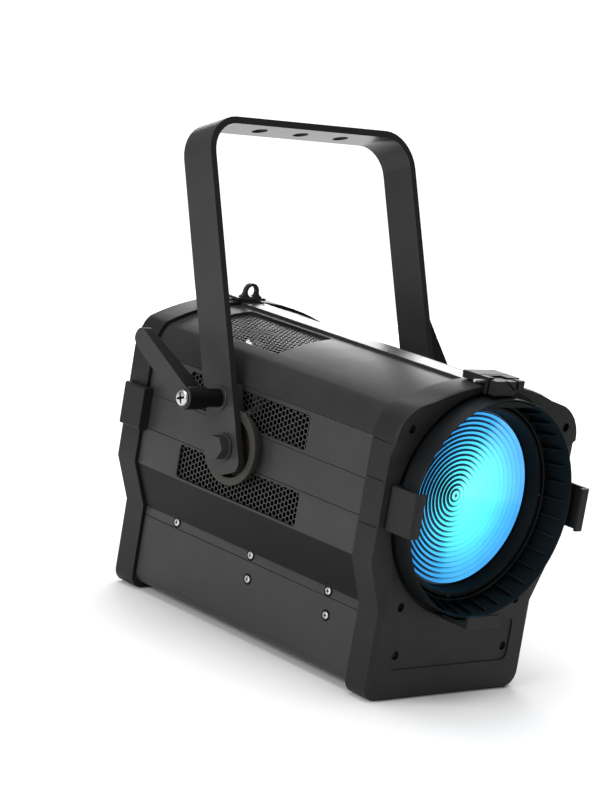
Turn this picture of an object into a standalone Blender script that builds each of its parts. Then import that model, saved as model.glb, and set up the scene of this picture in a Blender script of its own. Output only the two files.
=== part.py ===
"""Compact Fresnel spotlight with a flat-bar yoke, as an assembly of separate pieces.

The head stands level on its two end castings. -Y is the way the light leaves, +X is to the
right of someone facing the lens, and +Z is up. The origin is at the base, midway along the
head. "left" pieces are on the -X side. All sizes are in metres.
"""

import math

import bmesh
import bpy
from mathutils import Matrix, Vector

# ---------------------------------------------------------------- driving dimensions
GAP = 0.0003                  # clearance between touching pieces

# Section of the end castings, and the body's step in from it
UPPER_HALF = 0.1045           # half width beside the lens
LOWER_HALF = 0.087            # half width of the electronics compartment
SLOPE_LOW = 0.075             # height where the side starts to lean outward
SLOPE_HIGH = 0.115            # height where it is vertical again
SIDE_TOP = 0.213              # height where the side turns in towards the shoulder
SHOULDER_Z = 0.2395           # height of the body's shoulder crease
SHOULDER_STEP = 0.012         # how far the crease is inside the side
CROWN_Z = 0.2590              # top of the body's arch, before its inset
CAST_CROWN = 0.2595           # top of the castings' arch
CAST_ARCH_R = 0.181           # radius of the castings' arch
CORNER_R = 0.012              # radius of the bottom corners
BODY_INSET = 0.003            # body panels inside the castings' outline
BODY_LIFT = 0.0055            # body bottom above the castings' feet
SHEET = 0.002                 # thickness of the body panels

# Stations along the head
FACE_Y = -0.1585              # front face of the bezel
BEZEL_BACK = -0.1325          # back of the bezel's band
BODY_BACK = 0.1468            # back edge of the body panels
FRAME_FRONT = 0.1475          # front of the rear frame
FRAME_BACK = 0.1715           # back of the rear frame
SPIGOT = 0.010                # length of the castings' spigots inside the body

# Seams along the body, as heights
TRAY_TOP = 0.0673
RAIL_LOW = 0.1467
RAIL_HIGH = 0.1770
COVER_LOW = 0.2122
SPINE_HALF = 0.013
SPINE_TOP = 0.2580

# Optics
LENS_Z = 0.161                # lens axis
LENS_R = 0.0765
COLLAR_R = 0.0905
COLLAR_FRONT = -0.1765
BORE_R = 0.0812

# Yoke, in its own frame: pivot at the origin, arms up
PIVOT = Vector((0.0, 0.0215, 0.162))
YOKE_LEAN = math.radians(21.8)
YOKE_HALF = 0.119             # half width over the arms
YOKE_WIDTH = 0.035            # width of the flat bar
YOKE_BAR = 0.006              # thickness of the flat bar
YOKE_TOP = 0.275              # pivot to the top face
YOKE_FOOT = 0.0225            # pivot to the arm's lower end
BEND_R = 0.032                # outside radius of the yoke's bends
HANGER_PITCH = 0.047
HANGER_R = 0.007

# Tilt lock
LOCK_UP = 0.0405              # lock stud above the pivot, along the arm
CUP_R = 0.032
LEVER_ANGLES = {-1: math.radians(27.4), 1: math.radians(47.0)}

# Accessory slot
HOLDER_FRONT = -0.1875
HOLDER_HALF = 0.100
HOLDER_HEIGHT = 0.036

PARTS = "fresnel_spotlight"
SIDES = {-1: "left", 1: "right"}

PAINT = ("paint", (0.030, 0.030, 0.031), 0.42, 0.0)
CAST = ("casting_paint", (0.022, 0.022, 0.023), 0.45, 0.0)
PLASTIC = ("black_plastic", (0.012, 0.012, 0.013), 0.5, 0.0)
MESH_STEEL = ("grille_paint", (0.015, 0.015, 0.015), 0.6, 0.0)
STEEL = ("zinc_steel", (0.75, 0.75, 0.74), 0.28, 1.0)
BLACK_STEEL = ("black_steel", (0.03, 0.03, 0.03), 0.4, 0.6)
ALUMINIUM = ("aluminium", (0.72, 0.73, 0.74), 0.35, 1.0)
GLASS = ("lens_glass", (0.2, 0.75, 0.95), 0.08, 0.0)
BOARD = ("circuit_board", (0.02, 0.14, 0.06), 0.5, 0.0)
SCREEN = ("screen", (0.01, 0.02, 0.03), 0.12, 0.0)
RUBBER = ("button_rubber", (0.16, 0.16, 0.17), 0.7, 0.0)


# ---------------------------------------------------------------- scene and materials
def clear_scene():
    for item in list(bpy.data.objects):
        bpy.data.objects.remove(item, do_unlink=True)


def collection(name):
    group = bpy.data.collections.get(name) or bpy.data.collections.new(name)
    if group.name not in bpy.context.scene.collection.children:
        bpy.context.scene.collection.children.link(group)
    return group


def material(spec):
    name, colour, roughness, metallic = spec
    found = bpy.data.materials.get(name)
    if found:
        return found
    made = bpy.data.materials.new(name)
    made.use_nodes = True
    shader = made.node_tree.nodes["Principled BSDF"]
    shader.inputs["Base Color"].default_value = (*colour, 1.0)
    shader.inputs["Roughness"].default_value = roughness
    shader.inputs["Metallic"].default_value = metallic
    return made


def add_object(name, data, spec=None, parent=None):
    """Link data as an object: a part when it has a material, a cutter when it has none."""
    item = bpy.data.objects.new(name, data)
    collection(PARTS if spec else "cutters").objects.link(item)
    if spec:
        data.materials.append(material(spec))
    else:
        item.hide_render = True
        item.display_type = "WIRE"
    if parent:
        item.parent = parent
    return item


def pivot_empty(name, location, rotation=(0.0, 0.0, 0.0), parent=None):
    empty = bpy.data.objects.new(name, None)
    empty.location = location
    empty.rotation_euler = rotation
    empty.parent = parent
    collection(PARTS).objects.link(empty)
    return empty


# ---------------------------------------------------------------- outlines
def arc(cx, cy, radius, start, end, steps):
    """Points on an arc, angles in degrees, both ends included."""
    points = []
    for k in range(steps + 1):
        angle = math.radians(start + (end - start) * k / steps)
        points.append((cx + radius * math.cos(angle), cy + radius * math.sin(angle)))
    return points


def circle(cx, cy, radius, steps=32):
    return arc(cx, cy, radius, 0.0, 360.0, steps)[:-1]


def rounded_box(x0, y0, x1, y1, radius, steps=3):
    return (arc(x1 - radius, y1 - radius, radius, 0, 90, steps)
            + arc(x0 + radius, y1 - radius, radius, 90, 180, steps)
            + arc(x0 + radius, y0 + radius, radius, 180, 270, steps)
            + arc(x1 - radius, y0 + radius, radius, 270, 360, steps))


def arch_z(x, inset):
    """Height of the arched top at x; the arch is a circle through the crown and shoulders."""
    half = UPPER_HALF - SHOULDER_STEP
    rise = CROWN_Z - SHOULDER_Z
    radius = (half * half + rise * rise) / (2.0 * rise)
    return CROWN_Z - radius + math.sqrt((radius - inset) ** 2 - x * x)


def right_section(inset, lift=None):
    """The +X half of the section, from the bottom centre up to the crown."""
    lift = inset if lift is None else lift
    low = LOWER_HALF - inset
    high = UPPER_HALF - inset
    radius = CORNER_R - 0.5 * inset
    shoulder = high - SHOULDER_STEP
    points = arc(low - radius, lift + radius, radius, 270, 360, 6)
    points += [(low, SLOPE_LOW), (high, SLOPE_HIGH), (high, SIDE_TOP - 0.5 * inset)]
    side_end = Vector((high, SIDE_TOP - 0.5 * inset))
    crease = Vector((shoulder, arch_z(shoulder, inset)))
    knee = Vector((high - 0.003, crease.y - 0.006))
    for k in range(1, 7):
        t = k / 6.0
        point = side_end.lerp(knee, t).lerp(knee.lerp(crease, t), t)
        points.append(tuple(point))
    steps = 9
    for k in range(1, steps):
        x = shoulder * (1.0 - k / steps)
        points.append((x, arch_z(x, inset)))
    points.append((0.0, arch_z(0.0, inset)))
    return points


def closed(half):
    """A whole outline from its +X half, which ends at the crown."""
    return half + [(-x, z) for x, z in reversed(half[:-1])]


def section(inset, lift=None):
    """The whole closed outline of the body's section, moved in by inset."""
    return closed(right_section(inset, lift))


# The castings' +X half from the bottom up: x, z, and how far the front face is inside it.
# Between the corner and the boss the front face ends on a circle about the lens, and a
# sloping strip runs from there out to the side.
FACE_RING_R = 0.0956          # circle about the lens on which the front face ends beside it
CAST_SIDE = ((0.0875, SLOPE_LOW, 0.0045),)
for height in (SLOPE_HIGH, 0.1300, 0.1450, 0.1610, 0.1770, 0.1900, 0.2010):
    reach = math.sqrt(FACE_RING_R ** 2 - (height - LENS_Z) ** 2)
    CAST_SIDE += ((UPPER_HALF, height, UPPER_HALF - reach),)
CAST_SIDE += ((UPPER_HALF, 0.2125, 0.0008),
              (0.1040, 0.2190, 0.0010), (0.1020, 0.2250, 0.0010), (0.0988, 0.2305, 0.0010),
              (0.0945, 0.2350, 0.0010), (0.0895, 0.2388, 0.0010), (0.0840, 0.2415, 0.0010),
              (0.0670, 0.2460, 0.0010))


def casting_half(front):
    """The +X half of the castings' outline, or of the front face's when front is true."""
    step = 0.0030 if front else 0.0
    low = CAST_SIDE[0][0] - step
    points = arc(low - CORNER_R, step + CORNER_R, CORNER_R, 270, 360, 6)
    for x, z, inside in CAST_SIDE:
        points.append((x - (inside if front else 0.0), z))
    drop = 0.0010 if front else 0.0
    centre = CAST_CROWN - CAST_ARCH_R
    for x in (0.0545, 0.0420, 0.0290, 0.0150, 0.0):
        points.append((x, centre + math.sqrt(CAST_ARCH_R ** 2 - x * x) - drop))
    return points


def section_between(inset, low, high, lift=None):
    """Points of the +X half section between two heights, cut exactly at both."""
    half = right_section(inset, lift)
    kept = [half[0]] if low <= half[0][1] <= high else []
    for (x0, z0), (x1, z1) in zip(half, half[1:]):
        for level in (low, high):
            if min(z0, z1) < level < max(z0, z1):
                t = (level - z0) / (z1 - z0)
                kept.append((x0 + (x1 - x0) * t, level))
        if low <= z1 <= high:
            kept.append((x1, z1))
    return kept


# ---------------------------------------------------------------- solids
FACING_Y = Matrix(((1, 0, 0), (0, 0, -1), (0, 1, 0))).to_4x4()   # outline is x, z
FACING_X = Matrix(((0, 0, 1), (1, 0, 0), (0, 1, 0))).to_4x4()    # outline is y, z
FACING_Z = Matrix.Identity(4)                                    # outline is x, y


def plate(name, loops, low, high, facing, spec=None, parent=None):
    """A flat outline, with later loops as holes, standing between two stations."""
    data = bpy.data.curves.new(name, "CURVE")
    data.dimensions = "2D"
    data.fill_mode = "BOTH"
    data.extrude = 0.5 * (high - low)
    for loop in loops:
        spline = data.splines.new("POLY")
        spline.points.add(len(loop) - 1)
        for point, (x, y) in zip(spline.points, loop):
            point.co = (x, y, 0.0, 1.0)
        spline.use_cyclic_u = True
    middle = 0.5 * (low + high)
    shift = facing.to_3x3() @ Vector((0.0, 0.0, middle))
    if facing == FACING_Y:
        shift = Vector((0.0, middle, 0.0))
    curve = bpy.data.objects.new(name, data)
    curve.matrix_world = Matrix.Translation(shift) @ facing
    bpy.context.scene.collection.objects.link(curve)
    return curve_to_mesh(curve, name, spec, parent)


def curve_to_mesh(curve, name, spec, parent=None):
    """Turn a curve object into a mesh object with its caps welded."""
    bpy.context.view_layer.update()
    graph = bpy.context.evaluated_depsgraph_get()
    mesh = bpy.data.meshes.new_from_object(curve.evaluated_get(graph))
    mesh.materials.clear()
    mesh.transform(curve.matrix_world)
    bpy.data.objects.remove(curve, do_unlink=True)
    tidy = bmesh.new()
    tidy.from_mesh(mesh)
    bmesh.ops.remove_doubles(tidy, verts=tidy.verts, dist=0.000001)
    bmesh.ops.recalc_face_normals(tidy, faces=tidy.faces)
    tidy.to_mesh(mesh)
    tidy.free()
    return add_object(name, mesh, spec, parent)


def box(name, low, high, spec=None, parent=None, bevel=0.0):
    """An upright box between two corners, with an optional rounded edge."""
    shape = bmesh.new()
    bmesh.ops.create_cube(shape, size=1.0)
    low, high = Vector(low), Vector(high)
    size = high - low
    bmesh.ops.scale(shape, vec=size, verts=shape.verts)
    bmesh.ops.translate(shape, vec=0.5 * (low + high), verts=shape.verts)
    mesh = bpy.data.meshes.new(name)
    shape.to_mesh(mesh)
    shape.free()
    item = add_object(name, mesh, spec, parent)
    if bevel:
        round_edges(item, bevel)
    return item


def turned(name, profile, axis, centre, spec=None, parent=None, steps=48):
    """A solid of revolution. profile is (radius, station) from the outer top down its outside.

    axis is "X", "-X" or "Y": the direction that the stations run along, from centre.
    """
    data = bpy.data.meshes.new(name)
    points = [(radius, 0.0, station) for radius, station in profile]
    edges = [(k, k + 1) for k in range(len(points) - 1)]
    if profile[0][0] > 0.0 and profile[-1][0] > 0.0:
        edges.append((len(points) - 1, 0))
    data.from_pydata(points, edges, [])
    item = add_object(name, data, spec, parent)
    screw = item.modifiers.new("turn", "SCREW")
    screw.steps = steps
    screw.render_steps = steps
    screw.use_merge_vertices = True
    screw.merge_threshold = 0.00001
    screw.use_smooth_shade = True
    turns = {"X": (0.0, math.pi / 2, 0.0), "-X": (0.0, -math.pi / 2, 0.0),
             "Y": (-math.pi / 2, 0.0, 0.0), "Z": (0.0, 0.0, 0.0)}
    item.rotation_euler = turns[axis]
    item.location = centre
    return item


def sheet(name, profile, low, high, spec, thickness=SHEET, inward=True):
    """A folded sheet: an open line of (x, z) points drawn out along Y and given thickness."""
    shape = bmesh.new()
    rows = []
    for station in (low, high):
        rows.append([shape.verts.new((x, station, z)) for x, z in profile])
    for k in range(len(profile) - 1):
        shape.faces.new((rows[0][k], rows[0][k + 1], rows[1][k + 1], rows[1][k]))
    mesh = bpy.data.meshes.new(name)
    shape.to_mesh(mesh)
    shape.free()
    item = add_object(name, mesh, spec)
    solid = item.modifiers.new("thickness", "SOLIDIFY")
    solid.thickness = thickness
    solid.offset = -1.0 if inward else 1.0
    solid.use_even_offset = True
    return item


def round_edges(item, width, segments=2, angle=35.0):
    bevel = item.modifiers.new("rounding", "BEVEL")
    bevel.width = width
    bevel.segments = segments
    bevel.limit_method = "ANGLE"
    bevel.angle_limit = math.radians(angle)
    bevel.harden_normals = False


def boolean(item, tool, operation="DIFFERENCE"):
    step = item.modifiers.new(operation.lower() + "_" + tool.name, "BOOLEAN")
    step.operation = operation
    step.object = tool
    step.solver = "EXACT"


def cut(item, *tools):
    for tool in tools:
        boolean(item, tool)


def join(item, *tools):
    for tool in tools:
        boolean(item, tool, "UNION")


def rod(name, radius, start, end, spec, parent=None, steps=16):
    """A straight round rod between two points."""
    start, end = Vector(start), Vector(end)
    shape = bmesh.new()
    length = (end - start).length
    bmesh.ops.create_cone(shape, cap_ends=True, segments=steps, radius1=radius,
                          radius2=radius, depth=length)
    turn = (end - start).to_track_quat("Z", "Y").to_matrix().to_4x4()
    bmesh.ops.transform(shape, matrix=Matrix.Translation(0.5 * (start + end)) @ turn,
                        verts=shape.verts)
    mesh = bpy.data.meshes.new(name)
    shape.to_mesh(mesh)
    shape.free()
    mesh.shade_smooth()
    mesh.set_sharp_from_angle(angle=math.radians(35))
    return add_object(name, mesh, spec, parent)


# ---------------------------------------------------------------- head: castings and panels
BAND_GROOVES = (0.2113, 0.1804, 0.1435)
SCREW_HOLES = ((0.0885, 0.2235), (0.0662, 0.078), (0.062, 0.0374))


def lofted(name, rows, spec=None):
    """A solid through outlines with the same number of (x, z) points: rows of (y, outline)."""
    shape = bmesh.new()
    rings = []
    for station, outline in rows:
        rings.append([shape.verts.new((x, station, z)) for x, z in outline])
    count = len(rings[0])
    for near, far in zip(rings, rings[1:]):
        for k in range(count):
            after = (k + 1) % count
            shape.faces.new((near[k], far[k], far[after], near[after]))
    shape.faces.new(rings[0])
    shape.faces.new(rings[-1][::-1])
    bmesh.ops.recalc_face_normals(shape, faces=shape.faces)
    mesh = bpy.data.meshes.new(name)
    shape.to_mesh(mesh)
    shape.free()
    return add_object(name, mesh, spec)


def front_bezel():
    """The front casting: a band round the body with a sloping strip down each side."""
    step_y = FACE_Y + 0.0032
    outline = closed(casting_half(False))
    bezel = lofted("front_bezel", [(FACE_Y, closed(casting_half(True))), (step_y, outline),
                                   (BEZEL_BACK, outline)], CAST)
    inner = BODY_INSET + SHEET + GAP
    spigot = plate("bezel_spigot", [section(inner, BODY_LIFT + SHEET + GAP)],
                   BEZEL_BACK - 0.001, BEZEL_BACK + SPIGOT, FACING_Y)
    join(bezel, spigot)
    hollow = plate("bezel_hollow", [section(inner + 0.0035, BODY_LIFT + 0.006)],
                   FACE_Y + 0.005, BEZEL_BACK + SPIGOT + 0.002, FACING_Y)
    wall = rod("bezel_bore_wall", 0.0945, (0.0, FACE_Y, LENS_Z), (0.0, -0.1270, LENS_Z),
               None, steps=48)
    cut(hollow, wall)
    seat = COLLAR_R + GAP
    bore = turned("bezel_bore", [(0.0, FACE_Y - 0.01), (0.0945, FACE_Y - 0.01),
                                 (0.0945, FACE_Y + 0.0022), (seat, FACE_Y + 0.0030),
                                 (seat, FACE_Y + 0.009), (BORE_R, FACE_Y + 0.009),
                                 (BORE_R, -0.1298), (0.0710, -0.1298), (0.0710, -0.11),
                                 (0.0, -0.11)][::-1], "Y", (0.0, 0.0, LENS_Z))
    recess = plate("bezel_recess", [rounded_box(-0.0680, 0.0255, 0.0680, 0.0622, 0.0060)],
                   FACE_Y - 0.002, FACE_Y + 0.0010, FACING_Y)
    cut(bezel, hollow, bore, recess)
    for side in SIDES:
        for k, (x, z) in enumerate(SCREW_HOLES):
            hole = rod("bezel_hole_%d_%s" % (k, SIDES[side]), 0.0038,
                       (side * x, FACE_Y - 0.002, z), (side * x, FACE_Y + 0.0035, z), None, steps=12)
            cut(bezel, hole)
        for k, z in enumerate(BAND_GROOVES):
            groove = box("band_groove_%d_%s" % (k, SIDES[side]),
                         (side * UPPER_HALF - 0.0009, FACE_Y + 0.0040, z - 0.0005),
                         (side * UPPER_HALF + 0.0009, BEZEL_BACK + 0.001, z + 0.0005))
            cut(bezel, groove)
    return bezel


def rear_frame():
    frame = plate("rear_frame", [section(0.0)], FRAME_FRONT, FRAME_BACK, FACING_Y, CAST)
    round_edges(frame, 0.004, 2, 60)
    inner = BODY_INSET + SHEET + GAP
    spigot = plate("frame_spigot", [section(inner, BODY_LIFT + SHEET + GAP)],
                   FRAME_FRONT - SPIGOT - 0.004, FRAME_FRONT + 0.001, FACING_Y)
    join(frame, spigot)
    for side, word in SIDES.items():
        lug = plate(word + "_frame_lug",
                    [rounded_box(RAIL_LOW - LENS_Z - 0.002, 0.0, RAIL_HIGH - LENS_Z + 0.0050,
                                 0.0097, 0.002)], 0.1408, 0.1680, FACING_Y)
        # the lug's outline is drawn as (height, depth), so it is turned on its side
        turn = Matrix(((0, 0, side, 0), (0, 1, 0, 0), (1, 0, 0, 0), (0, 0, 0, 1)))
        shift = Matrix.Translation((side * (UPPER_HALF - BODY_INSET + GAP), 0.0, LENS_Z))
        lug.data.transform(shift @ turn)
        if side < 0:
            lug.data.flip_normals()
        join(frame, lug)
    opening = plate("frame_opening", [section(0.010)], FRAME_FRONT - SPIGOT - 0.006,
                    FRAME_BACK + 0.002, FACING_Y)
    cut(frame, opening)
    return frame


def window(name, low_y, high_y, low_z, high_z):
    """A tool that cuts a round-cornered opening through both side walls."""
    return plate(name, [rounded_box(low_y, low_z, high_y, high_z, 0.003)],
                 -0.2, 0.2, FACING_X)


def base_tray():
    half = section_between(BODY_INSET, 0.0, TRAY_TOP, BODY_LIFT)
    profile = [(x, z) for x, z in half]
    profile = [(-x, z) for x, z in reversed(profile)] + profile
    tray = sheet("base_tray", profile, BEZEL_BACK + GAP, BODY_BACK, PAINT, inward=False)
    return tray


def body_sides():
    low_window = window("lower_window_cut", -0.0590, 0.0945, 0.1165, 0.1448)
    high_window = window("upper_window_cut", -0.0570, 0.0955, 0.1795, 0.2082)
    for side, word in SIDES.items():
        lower = section_between(BODY_INSET, TRAY_TOP + GAP, RAIL_LOW)
        rail = section_between(BODY_INSET, RAIL_LOW + GAP, RAIL_HIGH - GAP)
        upper = section_between(BODY_INSET, RAIL_HIGH, COVER_LOW - GAP)
        names = ((word + "_lower_panel", lower, low_window),
                 (word + "_side_rail", rail, None),
                 (word + "_upper_panel", upper, high_window))
        for name, half, tool in names:
            profile = [(side * x, z) for x, z in half]
            panel = sheet(name, profile, BEZEL_BACK + GAP, BODY_BACK, PAINT, inward=side < 0)
            if tool:
                cut(panel, tool)
    return low_window, high_window


def top_covers():
    """Two arched covers that meet the raised spine between them."""
    for side, word in SIDES.items():
        half = section_between(BODY_INSET, COVER_LOW, 1.0)
        half = [p for p in half if p[0] > SPINE_HALF + 0.004]
        edge = SPINE_HALF + GAP
        half.append((edge, arch_z(edge, BODY_INSET)))
        profile = [(side * x, z) for x, z in half]
        cover = sheet(word + "_top_cover", profile, BEZEL_BACK + GAP, BODY_BACK, PAINT,
                      inward=side < 0)
        inner_x, outer_x = sorted((side * 0.020, side * 0.080))
        vent = plate(word + "_vent_cut", [rounded_box(inner_x, 0.0180, outer_x, 0.1235, 0.004)],
                     0.20, 0.28, FACING_Z)
        cut(cover, vent)


def top_spine():
    low = arch_z(SPINE_HALF, BODY_INSET) - SHEET - GAP
    step = SPINE_HALF + 0.006
    outline = [(-step, low - 0.0022), (step, low - 0.0022), (step, low - 0.0007),
               (SPINE_HALF, low), (SPINE_HALF, SPINE_TOP), (-SPINE_HALF, SPINE_TOP),
               (-SPINE_HALF, low), (-step, low - 0.0007)]
    spine = plate("top_spine", [outline], BEZEL_BACK + GAP, BODY_BACK, FACING_Y, PAINT)
    inner = BODY_INSET + SHEET + GAP
    relief = plate("spine_relief", [section(inner - GAP, BODY_LIFT)], BEZEL_BACK - 0.002,
                   BEZEL_BACK + SPIGOT + GAP, FACING_Y)
    relief_back = plate("spine_relief_back", [section(inner - GAP, BODY_LIFT)],
                        FRAME_FRONT - SPIGOT - 0.004 - GAP, FRAME_FRONT, FACING_Y)
    cut(spine, relief, relief_back)
    return spine


def grilles():
    """Perforated sheets behind the side windows, and one across under both top vents."""
    depth = UPPER_HALF - BODY_INSET - SHEET - GAP
    for side, word in SIDES.items():
        low, high = sorted((side * (depth - 0.0012), side * depth))
        plate(word + "_side_grille", [rounded_box(-0.064, 0.1158, 0.1005, 0.2105, 0.002)],
              low, high, FACING_X, MESH_STEEL)
    inset = BODY_INSET + SHEET + 0.0032
    profile = []
    for k in range(17):
        x = -0.0825 + 0.1650 * k / 16
        profile.append((x, arch_z(x, inset)))
    sheet("top_grille", profile, 0.0140, 0.1265, MESH_STEEL, 0.001)


# ---------------------------------------------------------------- head: optics
def collar():
    """The ribbed collar round the lens, flaring forward out of the bezel."""
    front = COLLAR_FRONT
    back = FACE_Y + 0.009 - GAP
    profile = [(COLLAR_R - 0.0010, front), (COLLAR_R, front + 0.0010), (COLLAR_R, back),
               (0.0810, back), (0.0810, back - 0.0030), (0.0885, front + 0.0010),
               (0.0890, front)]
    return turned("fin_ring", profile[::-1], "Y", (0.0, 0.0, LENS_Z), PLASTIC, steps=56)


def lens_ring():
    profile = [(0.0790, -0.1525), (0.0806, -0.1510), (0.0806, -0.1405), (0.0733, -0.1405),
               (0.0733, -0.1430), (0.0765, -0.1525)]
    return turned("lens_ring", profile[::-1], "Y", (0.0, 0.0, LENS_Z), PLASTIC, steps=48)


def fresnel_lens():
    """Round lens with a few stepped rings on its front; its back is flat."""
    front = -0.1402
    back = -0.1302
    rings = 3
    inner = 0.070
    profile = [(0.0, front + 0.0045)]
    for k in range(rings):
        reach = inner * (k + 1) / rings
        base = front + 0.0040 * (1.0 - (k + 1.0) / rings)
        profile.append((reach - 0.0016, base + 0.0028))
        profile.append((reach, base + 0.0008))
    profile += [(LENS_R, front), (LENS_R, back), (0.0, back)]
    return turned("fresnel_lens", profile[::-1], "Y", (0.0, 0.0, LENS_Z), GLASS, steps=48)


def accessory_holders():
    """Channels that hold a colour frame in front of the lens, on both sides and below."""
    inner = HOLDER_HALF - 0.003
    lip = HOLDER_HALF - 0.0095
    foot = COLLAR_R + 0.0010
    face = FACE_Y - GAP
    low = LENS_Z - 0.5 * HOLDER_HEIGHT
    high = LENS_Z + 0.5 * HOLDER_HEIGHT
    channel = [(HOLDER_HALF, face), (HOLDER_HALF, HOLDER_FRONT + 0.002),
               (HOLDER_HALF - 0.002, HOLDER_FRONT), (lip, HOLDER_FRONT),
               (lip, HOLDER_FRONT + 0.003), (inner, HOLDER_FRONT + 0.003),
               (inner, face - 0.0025), (foot, face - 0.0025), (foot, face)]
    for side, word in SIDES.items():
        outline = [(side * x, y) for x, y in channel]
        plate(word + "_accessory_holder", [outline], low, high, FACING_Z, PAINT)
    floor = 0.0660
    wall = [(face, floor), (HOLDER_FRONT, floor), (HOLDER_FRONT, floor + 0.0100),
            (HOLDER_FRONT + 0.003, floor + 0.0100), (HOLDER_FRONT + 0.003, floor + 0.003),
            (COLLAR_FRONT - 0.0005, floor + 0.003), (COLLAR_FRONT - 0.0005, floor + 0.0040),
            (face, floor + 0.0040)]
    plate("bottom_accessory_holder", [wall], -0.0178, 0.0178, FACING_X, PAINT)


def top_latch():
    """A fixed block on the bezel's crown, and the gate that swings up to free a frame."""
    crown = CAST_CROWN + GAP
    top = 0.2660
    face = -0.1622
    half = 0.0178
    block = plate("latch_base", [[(FACE_Y - GAP, crown), (-0.1335, crown), (-0.1335, top),
                                  (face, top), (face, 0.2526), (FACE_Y - GAP, 0.2526)]],
                  -half, half, FACING_X, PAINT)
    stop = box("latch_stop", (0.0085, -0.1712, 0.2585), (0.0150, face + 0.0010, 0.2655))
    join(block, stop)
    pocket = box("latch_pocket", (-0.0112, -0.19, crown - 0.0005), (0.0042, -0.1545, top + 0.01))
    groove = box("latch_groove", (-0.03, -0.1515, top - 0.0018), (0.03, -0.1505, top + 0.01))
    pin_y, pin_z = -0.1585, 0.2626
    hole = rod("latch_pin_hole", 0.0016, (-0.031, pin_y, pin_z), (0.0085, pin_y, pin_z), None)
    cut(block, pocket, groove, hole)
    rod("latch_pin", 0.0013, (-0.0300, pin_y, pin_z), (0.0080, pin_y, pin_z), STEEL)
    hub = pivot_empty("latch_hinge", (0.0, pin_y, pin_z))
    gate = plate("latch_gate", [[(-0.1640, 0.2533), (-0.1712, 0.2533), (-0.1712, 0.2650),
                                 (-0.1640, 0.2650)]], -0.0176, 0.0058, FACING_X, PAINT)
    arm = box("latch_arm", (-0.0105, -0.1650, pin_z - 0.0024), (0.0035, -0.1562, 0.2646))
    join(gate, arm)
    bore = rod("latch_gate_bore", 0.0017, (-0.03, pin_y, pin_z), (0.03, pin_y, pin_z), None)
    slash = box("latch_slash", (-0.0120, -0.1750, -0.0006), (0.0120, -0.1690, 0.0006))
    slash.data.transform(Matrix.Rotation(math.radians(35.0), 4, "Y"))
    slash.location = (-0.0025, 0.0, 0.2628)
    cut(gate, bore, slash)
    settle(gate, hub)


def settle(item, empty):
    """Parent a piece whose mesh is in world places to an empty without moving it."""
    bpy.context.view_layer.update()
    item.parent = empty
    item.matrix_parent_inverse = empty.matrix_world.inverted()


def safety_eye():
    """Loop at the top rear that a safety cable passes through."""
    base = 0.2595
    outline = [(0.0120, base + 0.0008), (0.0120, base + 0.0032), (0.0090, base + 0.0050)]
    outline += arc(0.0, base + 0.0070, 0.0082, 0, 180, 10)
    outline += [(-0.0090, base + 0.0050), (-0.0120, base + 0.0032), (-0.0120, base + 0.0008)]
    eye = plate("safety_eye", [outline, circle(0.0, base + 0.0078, 0.0048, 16)],
                0.1500, 0.1535, FACING_Y, BLACK_STEEL)
    foot = box("safety_eye_foot", (-0.0160, 0.1485, base), (0.0160, 0.1645, base + 0.0024))
    join(eye, foot)


# ---------------------------------------------------------------- head: back
REAR_END = 0.1875             # back ends of the power sockets
PANEL_FRONT = 0.1655
PANEL_BACK = 0.1675
FAN_Z = 0.1900
DATA_XZ = ((-0.058, 0.0930), (-0.025, 0.0930))
POWER_XZ = ((-0.028, 0.0420), (0.028, 0.0420))
BUTTON_XS = (0.022, 0.036, 0.050, 0.064)
CONTROL_Z = 0.1290


def rear_panel():
    holes = [circle(0.0, FAN_Z, 0.0370, 32)]
    holes += [circle(x, z, 0.0105, 16) for x, z in DATA_XZ]
    holes += [circle(x, z, 0.0130, 16) for x, z in POWER_XZ]
    holes += [circle(x, CONTROL_Z, 0.0052, 12) for x in BUTTON_XS]
    holes.append(rounded_box(-0.0580, CONTROL_Z - 0.0125, 0.0040, CONTROL_Z + 0.0125, 0.002))
    plate("rear_panel", [section(0.0103)] + holes, PANEL_FRONT, PANEL_BACK, FACING_Y, PAINT)


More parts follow.
